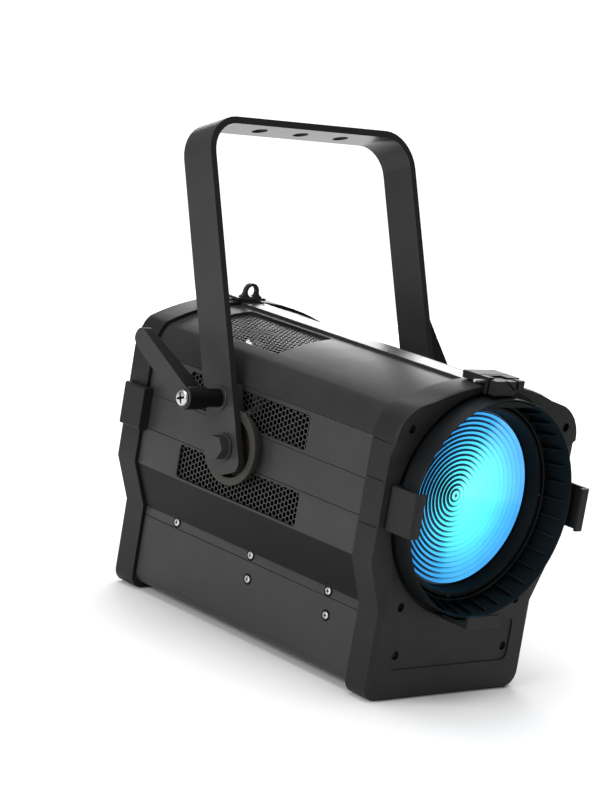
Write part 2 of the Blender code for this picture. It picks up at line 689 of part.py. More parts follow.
def fan_and_guard():
    frame = plate("fan_frame", [rounded_box(-0.040, FAN_Z - 0.040, 0.040, FAN_Z + 0.040, 0.004)],
                  0.1400, PANEL_FRONT - GAP, FACING_Y, PLASTIC)
    cut(frame, rod("fan_bore", 0.0380, (0.0, 0.1425, FAN_Z), (0.0, 0.17, FAN_Z), None, steps=40))
    for k in range(3):
        # openings between the three arms that hold the motor
        start, end = 34.0 + 120.0 * k, 146.0 + 120.0 * k
        gap = (arc(0.0, FAN_Z, 0.0365, start, end, 10)
               + arc(0.0, FAN_Z, 0.0155, end - 4.0, start + 4.0, 8))
        cut(frame, plate("fan_gap_%d" % k, [gap], 0.1380, 0.1440, FACING_Y))
    spin = pivot_empty("fan_axis", (0.0, 0.1530, FAN_Z))
    rotor = turned("fan_rotor", [(0.0, 0.0090), (0.0150, 0.0090), (0.0150, -0.0080),
                                 (0.0, -0.0080)], "Y", (0.0, 0.0, 0.0), PLASTIC, spin, 28)
    for k in range(7):
        blade = box("fan_blade_%d" % k, (-0.0110, -0.0010, 0.0120), (0.0110, 0.0010, 0.0355))
        twist = Matrix.Rotation(math.radians(360.0 * k / 7), 4, "Y")
        pitch = Matrix.Rotation(math.radians(32), 4, "Z")
        blade.data.transform(Matrix.Rotation(-math.pi / 2, 4, "X").inverted() @ twist @ pitch)
        blade.parent = spin
        blade.rotation_euler = (-math.pi / 2, 0.0, 0.0)
        boolean(rotor, blade, "UNION")
    guard = [circle(0.0, FAN_Z, 0.0420, 32)]
    for radius, steps in ((0.0375, 7), (0.0275, 6), (0.0175, 4)):
        for k in range(4):
            start = 90.0 * k + 2.4 * 0.03 / radius
            end = 90.0 * (k + 1) - 2.4 * 0.03 / radius
            guard.append(arc(0.0, FAN_Z, radius, start, end, steps)
                         + arc(0.0, FAN_Z, radius - 0.0082, end, start, steps))
    plate("fan_guard", guard, PANEL_BACK + GAP, PANEL_BACK + 0.0015, FACING_Y, BLACK_STEEL)


def socket(name, x, z, radius, flange, spec, depth, reach):
    """A round panel socket with a square flange, open at the back."""
    base = PANEL_BACK + GAP
    body = plate(name, [rounded_box(x - flange, z - flange, x + flange, z + flange, 0.003)],
                 base, base + 0.0020, FACING_Y, spec)
    barrel = rod(name + "_barrel", radius, (x, reach, z), (x, base - depth, z), None, steps=20)
    join(body, barrel)
    mouth = plate(name + "_mouth", [circle(x, z, radius - 0.0020, 20)], base - 0.004,
                  reach + 0.002, FACING_Y)
    cut(body, mouth)


def sockets():
    for word, (x, z) in zip(("data_in_socket", "data_out_socket"), DATA_XZ):
        socket(word, x, z, 0.0100, 0.0130, BLACK_STEEL, 0.016, REAR_END - 0.008)
    for word, (x, z) in zip(("power_in_socket", "power_out_socket"), POWER_XZ):
        socket(word, x, z, 0.0125, 0.0150, PLASTIC, 0.018, REAR_END)


def controls():
    window_piece = plate("display_window",
                         [rounded_box(-0.0577, CONTROL_Z - 0.0122, 0.0037, CONTROL_Z + 0.0122, 0.002)],
                         PANEL_FRONT, PANEL_BACK + 0.0004, FACING_Y, SCREEN)
    round_edges(window_piece, 0.0003, 1, 60)
    for k, x in enumerate(BUTTON_XS):
        travel = pivot_empty("button_guide_%d" % (k + 1), (x, PANEL_BACK, CONTROL_Z))
        turned("menu_button_%d" % (k + 1),
               [(0.0, 0.0022), (0.0040, 0.0022), (0.0047, 0.0015), (0.0047, -0.0050), (0.0, -0.0050)],
               "Y", (0.0, 0.0, 0.0), RUBBER, travel, 12)


# ---------------------------------------------------------------- head: inside
ROD_X = 0.047
ROD_Z = LENS_Z + 0.047
SCREW_Z = LENS_Z - 0.050
BULKHEAD_Y = 0.1040


def bulkhead_and_rods():
    """Plate that carries the zoom rods and motor behind the lamp carriage."""
    holes = [circle(0.0, LENS_Z + 0.008, 0.0330, 32), circle(0.0, SCREW_Z, 0.0045, 16)]
    holes += [circle(side * ROD_X, ROD_Z, 0.0036, 16) for side in SIDES]
    plate("rear_bulkhead", [rounded_box(-0.0900, 0.0900, 0.0900, 0.2260, 0.005)] + holes,
          BULKHEAD_Y, BULKHEAD_Y + 0.002, FACING_Y, ALUMINIUM)
    for side, word in SIDES.items():
        rod(word + "_guide_rod", 0.0030, (side * ROD_X, BEZEL_BACK + SPIGOT + GAP, ROD_Z),
            (side * ROD_X, BULKHEAD_Y + 0.008, ROD_Z), STEEL)
    plate("zoom_motor", [rounded_box(-0.0140, SCREW_Z - 0.014, 0.0140, SCREW_Z + 0.014, 0.003)],
          BULKHEAD_Y + 0.002 + GAP, BULKHEAD_Y + 0.032, FACING_Y, BLACK_STEEL)
    turned("zoom_screw", [(0.0, 0.1020), (0.0030, 0.1020), (0.0030, -0.0760), (0.0, -0.0760)],
           "Y", (0.0, 0.0, SCREW_Z), STEEL, steps=16)


def lamp_carriage():
    """The light engine and its heat sink, which slide on the rods to set the beam."""
    slide = pivot_empty("zoom_slide", (0.0, 0.0, LENS_Z))
    holes = [circle(side * ROD_X, ROD_Z, 0.0034, 16) for side in SIDES]
    holes.append(circle(0.0, SCREW_Z, 0.0034, 16))
    engine = plate("led_engine", [rounded_box(-0.056, SCREW_Z - 0.008, 0.056, ROD_Z + 0.009, 0.005)]
                   + holes, 0.0040, 0.0080, FACING_Y, ALUMINIUM)
    emitter = plate("led_dome", [circle(0.0, LENS_Z, 0.0190, 32)], -0.0010, 0.0045, FACING_Y)
    join(engine, emitter)
    settle(engine, slide)
    comb = []
    fins = 11
    half = 0.0380
    pitch = 2.0 * half / fins
    low = LENS_Z - 0.036
    for k in range(fins):
        x = -half + pitch * (k + 0.5)
        comb += [(x - 0.0012, 0.0460), (x + 0.0012, 0.0460), (x + 0.0012, 0.0150)]
        if k < fins - 1:
            comb.append((x + pitch - 0.0012, 0.0150))
    outline = [(-half, 0.0083)] + [(-half, 0.0150), (comb[0][0], 0.0150)] + comb
    outline += [(half, 0.0150), (half, 0.0083)]
    sink = plate("heat_sink", [outline], low, LENS_Z + 0.036, FACING_Z, ALUMINIUM)
    settle(sink, slide)


def electronics():
    floor = BODY_LIFT + SHEET + GAP
    box("power_supply", (-0.055, -0.0900, floor), (0.055, 0.0550, floor + 0.042), ALUMINIUM,
        bevel=0.0015)
    board = box("driver_board", (-0.060, 0.0650, floor + 0.006), (0.060, 0.1300, floor + 0.0076), BOARD)
    parts = ((-0.045, 0.075, 0.014, 0.018), (-0.020, 0.090, 0.022, 0.010), (0.020, 0.078, 0.012, 0.022),
             (0.040, 0.105, 0.016, 0.012))
    for k, (x, y, size, height) in enumerate(parts):
        chip = box("board_part_%d" % k, (x, y, floor + 0.007), (x + size, y + size, floor + 0.007 + height))
        join(board, chip)
    for k, (x, y) in enumerate(((-0.056, 0.069), (0.056, 0.069), (-0.056, 0.126), (0.056, 0.126))):
        foot = rod("board_foot_%d" % k, 0.0025, (x, y, floor), (x, y, floor + 0.0065), None, steps=12)
        join(board, foot)


# ---------------------------------------------------------------- pivots, yoke and locks
def pivot_cups():
    """Grooved discs on the body's sides that the yoke turns on and the locks grip."""
    side_x = UPPER_HALF - BODY_INSET + GAP
    top = YOKE_HALF - YOKE_BAR - 0.0006
    profile = [(CUP_R, top), (CUP_R, top - 0.0030), (0.0280, top - 0.0034), (0.0280, side_x),
               (0.0045, side_x), (0.0045, top), (0.0120, top), (0.0120, side_x + 0.0030),
               (0.0245, side_x + 0.0030), (0.0255, top)]
    for side, word in SIDES.items():
        axis = "X" if side > 0 else "-X"
        turned(word + "_pivot_cup", profile, axis, PIVOT, CAST, steps=36)


def yoke_profile(steps=8):
    """Side-on outline of the bent bar as (x, z), pivot height at zero."""
    inner_r = BEND_R - YOKE_BAR
    inner = YOKE_HALF - YOKE_BAR
    cx = YOKE_HALF - BEND_R
    cz = YOKE_TOP - BEND_R
    outer = [(YOKE_HALF, -YOKE_FOOT)] + arc(cx, cz, BEND_R, 0, 90, steps)
    outer += arc(-cx, cz, BEND_R, 90, 180, steps) + [(-YOKE_HALF, -YOKE_FOOT)]
    back = [(-inner, -YOKE_FOOT)] + arc(-cx, cz, inner_r, 180, 90, steps)
    back += arc(cx, cz, inner_r, 90, 0, steps) + [(inner, -YOKE_FOOT)]
    return outer + back


def yoke(tilt):
    bar = plate("yoke_bracket", [yoke_profile()], -0.5 * YOKE_WIDTH, 0.5 * YOKE_WIDTH,
                FACING_Y, PAINT, tilt)
    half = 0.5 * YOKE_WIDTH
    foot_r = 0.0095
    for sign, word in ((-1, "front"), (1, "back")):
        # the arms' lower corners are rounded by cutting a square-cornered fillet away
        corner = [(sign * (half + 0.002), -YOKE_FOOT - 0.002), (sign * (half + 0.002), -YOKE_FOOT + foot_r)]
        centre = (sign * (half - foot_r), -YOKE_FOOT + foot_r)
        for k in range(7):
            angle = math.radians(90.0 * k / 6)
            corner.append((centre[0] + sign * foot_r * math.cos(angle),
                           centre[1] - foot_r * math.sin(angle)))
        corner.append((sign * (half - foot_r), -YOKE_FOOT - 0.002))
        tool = plate("yoke_corner_" + word, [corner], -0.2, 0.2, FACING_X)
        tool.parent = tilt
        cut(bar, tool)
    pins = plate("yoke_arm_holes", [circle(0.0, 0.0, 0.0064, 24)], -0.2, 0.2, FACING_X)
    studs = plate("yoke_stud_holes", [circle(0.0, LOCK_UP, 0.0044, 24)], -0.2, 0.2, FACING_X)
    tools = [pins, studs]
    for k in (-1, 0, 1):
        tools.append(plate("yoke_hanger_%d" % (k + 2), [circle(k * HANGER_PITCH, 0.0, HANGER_R, 20)],
                           YOKE_TOP - 0.02, YOKE_TOP + 0.02, FACING_Z))
    for tool in tools:
        tool.parent = tilt
        cut(bar, tool)


def pivot_hardware():
    """Hexagon bolts and washers, screwed into the cups through the arms."""
    for side, word in SIDES.items():
        axis = "X" if side > 0 else "-X"
        washer = [(0.0118, YOKE_HALF + 0.0025), (0.0118, YOKE_HALF + GAP),
                  (0.0063, YOKE_HALF + GAP), (0.0063, YOKE_HALF + 0.0025)]
        turned(word + "_pivot_washer", washer, axis, PIVOT, STEEL, steps=24)
        start = YOKE_HALF + 0.0025 + GAP
        head = plate(word + "_pivot_bolt", [circle(PIVOT.y, PIVOT.z, 0.0104, 6)],
                     *sorted((side * start, side * (start + 0.0075))), FACING_X, BLACK_STEEL)
        shoulder = YOKE_HALF - YOKE_BAR - 0.0002
        shank = turned(word + "_pivot_shank",
                       [(0.0, start + 0.003), (0.0060, start + 0.003), (0.0060, shoulder),
                        (0.0041, shoulder), (0.0041, 0.1030), (0.0, 0.1030)], axis, PIVOT, steps=20)
        join(head, shank)


def lock_shoe(name, side, parent):
    """A hooked block that reaches behind the cup's flange and is drawn out by the stud."""
    inner = 0.1050
    ledge = YOKE_HALF - YOKE_BAR - 0.0043
    outer = YOKE_HALF - YOKE_BAR - 0.0006
    hook = arc(0.0, 0.0, 0.0286, 62, 118, 8) + [(-0.0150, LOCK_UP + 0.0085), (0.0150, LOCK_UP + 0.0085)]
    body = arc(0.0, 0.0, CUP_R + 0.0006, 64, 116, 8) + [(-0.0150, LOCK_UP + 0.0085),
                                                        (0.0150, LOCK_UP + 0.0085)]
    low, high = sorted((side * inner, side * ledge))
    shoe = plate(name, [hook], low, high, FACING_X, BLACK_STEEL)
    low, high = sorted((side * (ledge - 0.0005), side * outer))
    pad = plate(name + "_pad", [body], low, high, FACING_X)
    hole = plate(name + "_hole", [circle(0.0, LOCK_UP, 0.0043, 20)], -0.2, 0.2, FACING_X)
    join(shoe, pad)
    cut(shoe, hole)
    for item in (shoe, pad, hole):
        item.parent = parent


# The blade's lower and upper edges at distances along it; it thins towards its tip.
LEVER_STATIONS = ((0.0010, -0.0089, 0.0087), (0.0600, -0.0082, 0.0088), (0.0778, -0.0065, 0.0088),
                  (0.0806, -0.0040, 0.0066), (0.0820, -0.0005, 0.0030))


def lock_lever(side, word, tilt):
    """Clamping stud with its end screw, and the ratchet handle that turns it."""
    lock_shoe(word + "_lock_shoe", side, tilt)
    axle = pivot_empty(word + "_lock_axis", (0.0, 0.0, LOCK_UP), parent=tilt)
    axis = "X" if side > 0 else "-X"
    base = YOKE_HALF + GAP
    neck_end = YOKE_HALF + 0.0162
    face = 0.1570
    seat = 0.1490
    turned(word + "_lock_stud", [(0.0, 0.1600), (0.0040, 0.1600), (0.0062, 0.1590), (0.0068, 0.1575),
                                 (0.0068, 0.1545), (0.0039, 0.1545), (0.0039, 0.1055), (0.0, 0.1055)],
           axis, (0.0, 0.0, 0.0), STEEL, axle, 24)
    pull = pivot_empty(word + "_lever_lift", (0.0, 0.0, 0.0), parent=axle)
    profile = [(0.0, face), (0.0085, face), (0.0095, face - 0.001), (0.0095, neck_end + 0.0008),
               (0.0075, neck_end), (0.0075, base), (0.0, base)]
    handle = turned(word + "_lock_lever", profile, axis, (0.0, 0.0, 0.0), PLASTIC, pull, 32)
    rows = []
    for along, low, high in LEVER_STATIONS:
        near, far = side * (0.1400 + 0.0950 * max(along, 0.0)), side * (face - 0.0004)
        rows.append((along, [(near, low), (far, low), (far, high), (near, high)]))
    blade = lofted(word + "_lever_blade", rows)
    angle = LEVER_ANGLES[side] + YOKE_LEAN
    blade.data.transform(Matrix.Rotation(angle, 4, "X"))
    cavity = rod(word + "_lever_cavity", 0.0073, (side * seat, 0.0, 0.0), (side * 0.17, 0.0, 0.0), None,
                 steps=32)
    core = rod(word + "_lever_core", 0.0042, (side * 0.11, 0.0, 0.0), (side * 0.17, 0.0, 0.0), None,
               steps=32)
    join(handle, blade)
    cut(handle, cavity, core)
    for tool in (blade, cavity, core):
        tool.parent = pull


# ---------------------------------------------------------------- assembly
def build():
    clear_scene()
    front_bezel()
    rear_frame()
    base_tray()
    body_sides()
    top_covers()
    top_spine()
    grilles()
    collar()
    lens_ring()
    fresnel_lens()
    accessory_holders()
    top_latch()
    safety_eye()
    rear_panel()
    fan_and_guard()
    sockets()
    controls()
    bulkhead_and_rods()
    lamp_carriage()
    electronics()
    pivot_cups()
    pivot_hardware()
    tilt = pivot_empty("yoke_tilt", PIVOT, (-YOKE_LEAN, 0.0, 0.0))
    yoke(tilt)
    for side, word in SIDES.items():
        lock_lever(side, word, tilt)


build()
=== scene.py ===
"""Detailed visual model of the fresnel spotlight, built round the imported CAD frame."""

import math

import bmesh
import bpy
from mathutils import Matrix, Vector


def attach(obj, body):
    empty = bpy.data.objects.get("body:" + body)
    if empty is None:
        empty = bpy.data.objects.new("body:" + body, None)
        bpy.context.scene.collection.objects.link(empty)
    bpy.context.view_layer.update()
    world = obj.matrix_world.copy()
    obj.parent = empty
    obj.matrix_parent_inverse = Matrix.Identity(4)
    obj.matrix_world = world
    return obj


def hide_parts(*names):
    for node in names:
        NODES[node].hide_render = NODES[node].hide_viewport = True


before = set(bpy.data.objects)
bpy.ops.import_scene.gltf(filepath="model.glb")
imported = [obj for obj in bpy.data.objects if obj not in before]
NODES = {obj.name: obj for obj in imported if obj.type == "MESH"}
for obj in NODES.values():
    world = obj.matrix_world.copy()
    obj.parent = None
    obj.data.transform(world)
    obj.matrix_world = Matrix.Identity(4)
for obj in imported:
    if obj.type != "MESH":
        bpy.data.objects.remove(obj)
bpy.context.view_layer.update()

# Places taken from the CAD model, in metres
LENS_Z = 0.161
UPPER_HALF = 0.1045
SHOULDER_STEP = 0.012
SHOULDER_Z = 0.2395
CROWN_Z = 0.2590
BODY_INSET = 0.003
SHEET = 0.002
PIVOT = Vector((0.0, 0.0215, 0.162))
LEAN = math.radians(21.8)
LOCK_UP = 0.0405
YOKE_HALF = 0.119
SIDES = {-1: "left", 1: "right"}
LENS_RADIUS = 0.0715
LENS_CENTRE = 0.0040          # radius of the plain middle of the lens
LENS_RINGS = 16
LENS_RIM_Y = -0.1402
LENS_BACK_Y = -0.1304
SIDE_X = 0.0840               # face of the lower side panels
STUD_END = 0.1574             # outer end of the lock studs' shanks

# Grain of the finishes, as scales of procedural noise
MOTTLE = 38.0
RUB = 16.0
PEEL = 1400.0
PEEL_DEPTH = 0.00004


# ---------------------------------------------------------------- materials
class Shader:
    """A Principled material and short ways to add procedural nodes to it."""

    def __init__(self, name):
        self.material = bpy.data.materials.new(name)
        self.material.use_nodes = True
        self.nodes = self.material.node_tree.nodes
        self.links = self.material.node_tree.links
        self.bsdf = self.nodes["Principled BSDF"]
        self.place = self.nodes.new("ShaderNodeTexCoord").outputs["Object"]

    def set(self, **values):
        for name, value in values.items():
            self.bsdf.inputs[name.replace("_", " ")].default_value = value
        return self

    def link(self, output, name):
        self.links.new(output, self.bsdf.inputs[name])

    def noise(self, scale, detail=3.0, roughness=0.55, stretch=None):
        node = self.nodes.new("ShaderNodeTexNoise")
        node.inputs["Scale"].default_value = scale
        node.inputs["Detail"].default_value = detail
        node.inputs["Roughness"].default_value = roughness
        source = self.place
        if stretch:
            mapping = self.nodes.new("ShaderNodeMapping")
            mapping.inputs["Scale"].default_value = stretch
            self.links.new(source, mapping.inputs["Vector"])
            source = mapping.outputs["Vector"]
        self.links.new(source, node.inputs["Vector"])
        return node.outputs["Fac"]

    def math(self, operation, first, second=None, third=None):
        node = self.nodes.new("ShaderNodeMath")
        node.operation = operation
        for slot, value in enumerate((first, second, third)):
            if value is None:
                continue
            if isinstance(value, (int, float)):
                node.inputs[slot].default_value = value
            else:
                self.links.new(value, node.inputs[slot])
        return node.outputs["Value"]

    def split(self, source):
        """The X, Y and Z outputs of a vector."""
        node = self.nodes.new("ShaderNodeSeparateXYZ")
        self.links.new(source, node.inputs["Vector"])
        return node.outputs

    def facing(self, axis):
        """One component of the surface's direction in the piece's own frame."""
        turn = self.nodes.new("ShaderNodeTexCoord").outputs["Normal"]
        return self.split(turn)[axis]

    def length(self, first, second):
        squares = [self.math("POWER", value, 2.0) for value in (first, second)]
        return self.math("SQRT", self.math("ADD", *squares))

    def weighted(self, first, by_first, second, by_second):
        """first * by_first + second * by_second."""
        return self.math("ADD", self.math("MULTIPLY", first, by_first),
                         self.math("MULTIPLY", second, by_second))

    def spread(self, source, low, high, start=0.3, end=0.7):
        """Map a 0..1 source onto low..high."""
        node = self.nodes.new("ShaderNodeMapRange")
        node.inputs["From Min"].default_value = start
        node.inputs["From Max"].default_value = end
        node.inputs["To Min"].default_value = low
        node.inputs["To Max"].default_value = high
        self.links.new(source, node.inputs["Value"])
        return node.outputs["Result"]

    def ramp(self, source, stops):
        node = self.nodes.new("ShaderNodeValToRGB")
        ramp = node.color_ramp
        while len(ramp.elements) < len(stops):
            ramp.elements.new(0.5)
        for element, (position, colour) in zip(ramp.elements, stops):
            element.position = position
            element.color = (*colour, 1.0)
        self.links.new(source, node.inputs["Fac"])
        return node.outputs["Color"]

    def bump(self, height, strength, distance):
        node = self.nodes.new("ShaderNodeBump")
        node.inputs["Strength"].default_value = strength
        node.inputs["Distance"].default_value = distance
        self.links.new(height, node.inputs["Height"])
        self.link(node.outputs["Normal"], "Normal")
        return self

    def mix(self, factor, first, second):
        node = self.nodes.new("ShaderNodeMix")
        node.data_type = "RGBA"
        self.links.new(factor, node.inputs["Factor"])
        for slot, value in ((6, first), (7, second)):
            if isinstance(value, tuple):
                node.inputs[slot].default_value = (*value, 1.0)
            else:
                self.links.new(value, node.inputs[slot])
        return node.outputs[2]


def grey(value):
    return (value, value, value)


def mottled(shader, mottle, value, low=0.9, high=1.1):
    """A grey that the mottle varies between two shares of its value."""
    return shader.ramp(mottle, ((0.30, grey(value * low)), (0.72, grey(value * high))))


def painted(name, dark, light, rough, grain=PEEL, depth=PEEL_DEPTH, gloss=0.32):
    """Satin powder coat: fine orange peel, faint mottling, a little wear in its gloss."""
    shader = Shader(name)
    mottle = shader.noise(MOTTLE, 5.0, 0.6)
    shader.link(shader.ramp(mottle, ((0.30, dark), (0.72, light))), "Base Color")
    rub = shader.noise(RUB, 6.0, 0.68)
    shader.link(shader.spread(rub, rough - 0.05, rough + 0.06), "Roughness")
    peel = shader.noise(grain, 2.0, 0.5)
    shader.bump(peel, 0.35, depth)
    shader.set(IOR=1.5, Specular_IOR_Level=gloss)
    return shader.material


def slope_shaded_paint(name, slope_shade, above, rough):
    """The lower side panels' paint, with painted shade on their sloping part: a darker tone and
    less gloss there.
    """
    shader = Shader(name)
    height = shader.split(shader.place)["Z"]
    middle = shader.math("ABSOLUTE", shader.math("SUBTRACT", height, 0.0950))
    high = shader.spread(middle, 0.0, 1.0, 0.0190, 0.0202)
    mottle = shader.noise(MOTTLE, 5.0, 0.6)
    tones = mottled(shader, mottle, slope_shade, 0.85), mottled(shader, mottle, above)
    # painted shade: in the sloping band, z about 0.075 to 0.115, the colour takes the darker tone
    shader.link(shader.mix(high, *tones), "Base Color")
    rub = shader.noise(RUB, 6.0, 0.68)
    shader.link(shader.spread(rub, rough - 0.05, rough + 0.06), "Roughness")
    shader.link(shader.spread(high, 0.10, 0.32, 0.0, 1.0), "Specular IOR Level")
    shader.bump(shader.noise(PEEL, 2.0, 0.5), 0.35, PEEL_DEPTH)
    return shader.material


def facing_shaded_paint(name, flat, edge, inner, under_gloss):
    """Powder coat on a flat bar, with painted light and shade: faces turned along X, like the
    arms' wide faces, lighter than the rest.

    inner is the painted shade on the right arm's inside; under_gloss shines up the crossbar's
    underside.
    """
    shader = Shader(name)
    mottle = shader.noise(MOTTLE, 5.0, 0.6)
    sideways = shader.facing("X")
    lit_facing = shader.spread(shader.math("ABSOLUTE", sideways), 0.0, 1.0, 0.45, 0.8)
    right = shader.spread(shader.split(shader.place)["X"], 0.0, 1.0, 0.0, 0.02)
    inward = shader.spread(sideways, 1.0, 0.0, -0.6, -0.2)
    inner_shade_mask = shader.math("MULTIPLY", right, inward)
    lit_tone, shaded_tone, inner_shade_tone = (mottled(shader, mottle, value)
                                        for value in (flat, edge, inner))
    # painted light and shade: X-facing faces take the lighter tone, the others the darker, the
    # right arm's inside its shade tone
    tone = shader.mix(inner_shade_mask, shader.mix(lit_facing, shaded_tone, lit_tone), inner_shade_tone)
    shader.link(tone, "Base Color")
    under = shader.spread(shader.facing("Z"), 1.0, 0.0, -0.85, -0.6)
    gloss = shader.math("ADD", shader.math("MULTIPLY", under, under_gloss),
                        shader.math("ADD", shader.math("MULTIPLY", lit_facing, 0.22), 0.06))
    shader.link(gloss, "Specular IOR Level")
    shader.link(shader.math("ADD", shader.math("MULTIPLY", under, -0.24), 0.46), "Roughness")
    shader.bump(shader.noise(PEEL, 2.0, 0.5), 0.35, PEEL_DEPTH)
    return shader.material


def moulded(name, dark, light, rough, gloss=0.30):
    """Matte moulded nylon with a spark-eroded grain."""
    shader = Shader(name)
    shader.link(shader.ramp(shader.noise(70.0, 4.0), ((0.3, dark), (0.7, light))), "Base Color")
    shader.link(shader.spread(shader.noise(24.0, 5.0), rough - 0.06, rough + 0.07), "Roughness")
    shader.bump(shader.noise(2600.0, 2.0, 0.6), 0.5, 0.00003)
    shader.set(Specular_IOR_Level=gloss)
    return shader.material


def metal(name, dark, light, rough, stretch=(1.0, 1.0, 1.0)):
    """Bare metal with a fine grain, drawn out along stretch."""
    shader = Shader(name).set(Metallic=1.0)
    brushed = shader.noise(900.0, 3.0, 0.6, stretch)
    shader.link(shader.ramp(shader.noise(60.0, 4.0), ((0.3, dark), (0.7, light))), "Base Color")
    shader.link(shader.spread(brushed, rough - 0.05, rough + 0.10), "Roughness")
    shader.bump(brushed, 0.25, 0.00002)
    return shader.material


MAT = {
    "paint": painted("satin_paint", grey(0.020), grey(0.025), 0.44),
    # the lower panels carry painted shade on their sloping band
    "lower_paint_slope_shade": slope_shaded_paint("lower_panel_paint_slope_shade", 0.0060, 0.0225, 0.44),
    "casting_paint": painted("casting_paint", grey(0.0065), grey(0.0090), 0.50,
                             900.0, 0.00006, 0.24),
    # the yoke's tones by facing are painted light and shade
    "yoke_paint_facing_shade": facing_shaded_paint("yoke_paint_facing_shade", 0.0245, 0.0150, 0.0240, 0.35),
    "cover_paint": painted("cover_paint", grey(0.022), grey(0.027), 0.42, gloss=0.10),
    "spine_paint": painted("spine_paint", grey(0.024), grey(0.030), 0.36, gloss=0.34),
    # the lever handles' tones by facing are painted light and shade
    "handle_plastic_facing_shade": facing_shaded_paint("handle_nylon_facing_shade", 0.0230, 0.0040, 0.0230, 0.0),
    "grille_paint": painted("grille_paint", grey(0.042), grey(0.055), 0.40),
    "black_plastic": moulded("black_nylon", grey(0.010), grey(0.014), 0.42),
    "collar_plastic": moulded("collar_nylon", (0.0018, 0.0028, 0.0036),
                              (0.0030, 0.0045, 0.0056), 0.55, 0.16),
    # near-black painted shade for screw recesses and the wells round the side screws
    "recess_painted_shade": moulded("recess_painted_shade", grey(0.0015), grey(0.0030), 0.60, 0.10),
    "black_steel": painted("black_oxide", grey(0.018), grey(0.024), 0.40),
    "zinc_steel": metal("bright_zinc", grey(0.52), grey(0.66), 0.30),
    "inner_steel": metal("oiled_steel", grey(0.08), grey(0.12), 0.45),
    "aluminium": metal("plain_aluminium", grey(0.40), grey(0.50), 0.40, (1.0, 1.0, 14.0)),
    # near-black painted shade for the inner parts seen through the grilles
    "inner_metal_painted_shade": painted("inner_metal_painted_shade", grey(0.0030), grey(0.0050), 0.60, gloss=0.12),
    "cup": painted("cup_casting", (0.022, 0.021, 0.016), (0.029, 0.027, 0.021), 0.50),
}


def lens_light():
    """Lit lens facets: cyan where the light is strongest, bluer towards the rim.

    Painted shade draws dark lines on the lens's steps, stronger to the left of a slanting
    boundary.
    """
    shader = Shader("lit_lens")
    x, z = (shader.split(shader.place)[axis] for axis in "XZ")
    from_axis = shader.math("SUBTRACT", z, LENS_Z)
    from_spot_x = shader.math("SUBTRACT", x, 0.012)
    from_spot_z = shader.math("SUBTRACT", z, LENS_Z - 0.004)
    slanted = shader.weighted(from_spot_x, 0.90, from_spot_z, -0.22)
    along = shader.weighted(from_spot_z, 0.72, from_spot_x, 0.20)
    fade = shader.math("MULTIPLY", shader.length(slanted, along), 1.0 / 0.072)
    cloud = shader.math("SUBTRACT", shader.noise(46.0, 2.0), 0.5)
    fade = shader.math("ADD", fade, shader.math("MULTIPLY", cloud, 0.12))
    colour = shader.ramp(fade, ((0.0, (0.13, 1.0, 1.0)), (0.36, (0.09, 0.84, 1.0)),
                                (0.60, (0.055, 0.46, 0.90)), (0.88, (0.030, 0.21, 0.60))))
    pitch = (LENS_RADIUS - LENS_CENTRE) / LENS_RINGS
    outward = shader.math("SUBTRACT", shader.length(x, from_axis), LENS_CENTRE)
    phase = shader.math("FRACT", shader.math("MULTIPLY", outward, 1.0 / pitch))
    # painted shade: dark bands on the rings, stronger to the left of a slanting boundary
    step_shade = shader.spread(phase, 1.0, 0.0, 0.40, 0.54)
    across = shader.weighted(x, 0.960, from_axis, -0.279)
    shade_wedge = shader.spread(shader.math("SUBTRACT", across, 0.0125), 1.0, 0.0, -0.012, 0.003)
    strength = shader.math("ADD", shader.math("MULTIPLY", shade_wedge, 0.82), 0.16)
    # painted shade: the dark blue mixed in where the ring bands fall
    colour = shader.mix(shader.math("MULTIPLY", step_shade, strength), colour, (0.004, 0.030, 0.060))
    shader.link(colour, "Emission Color")
    shader.link(colour, "Base Color")
    shader.set(Emission_Strength=0.88, Roughness=0.16, Coat_Weight=0.35, Coat_Roughness=0.08)
    return shader.material


def lens_riser():
    """The steep sides of the lens's steps, coloured dark as painted shade."""
    shader = Shader("lens_step_shade")
    shade = shader.ramp(shader.noise(90.0), ((0.3, (0.004, 0.012, 0.020)),
                                             (0.7, (0.010, 0.035, 0.055))))
    shader.link(shade, "Base Color")
    shader.link(shader.spread(shader.noise(300.0), 0.12, 0.25), "Roughness")
    return shader.material


MAT["lens"] = lens_light()
MAT["riser"] = lens_riser()


# ---------------------------------------------------------------- making pieces
def new_object(name, mesh, material=None, body=None, node=None):
    item = bpy.data.objects.new(name, mesh)
    bpy.context.scene.collection.objects.link(item)
    if material:
        mesh.materials.append(material)
    if node:
        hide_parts(*([node] if isinstance(node, str) else node))
    if body:
        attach(item, body)
    return item


def mesh_of(shape, name, smooth=30.0):
    mesh = bpy.data.meshes.new(name)
    bmesh.ops.recalc_face_normals(shape, faces=shape.faces)
    shape.to_mesh(mesh)
    shape.free()
    if smooth:
        mesh.shade_smooth()
        mesh.set_sharp_from_angle(angle=math.radians(smooth))
    return mesh


def settle(item):
    """Replace an object's mesh with its evaluated mesh, and drop its modifiers."""
    bpy.context.view_layer.update()
    graph = bpy.context.evaluated_depsgraph_get()
    mesh = bpy.data.meshes.new_from_object(item.evaluated_get(graph))
    item.modifiers.clear()
    item.data = mesh
    return item


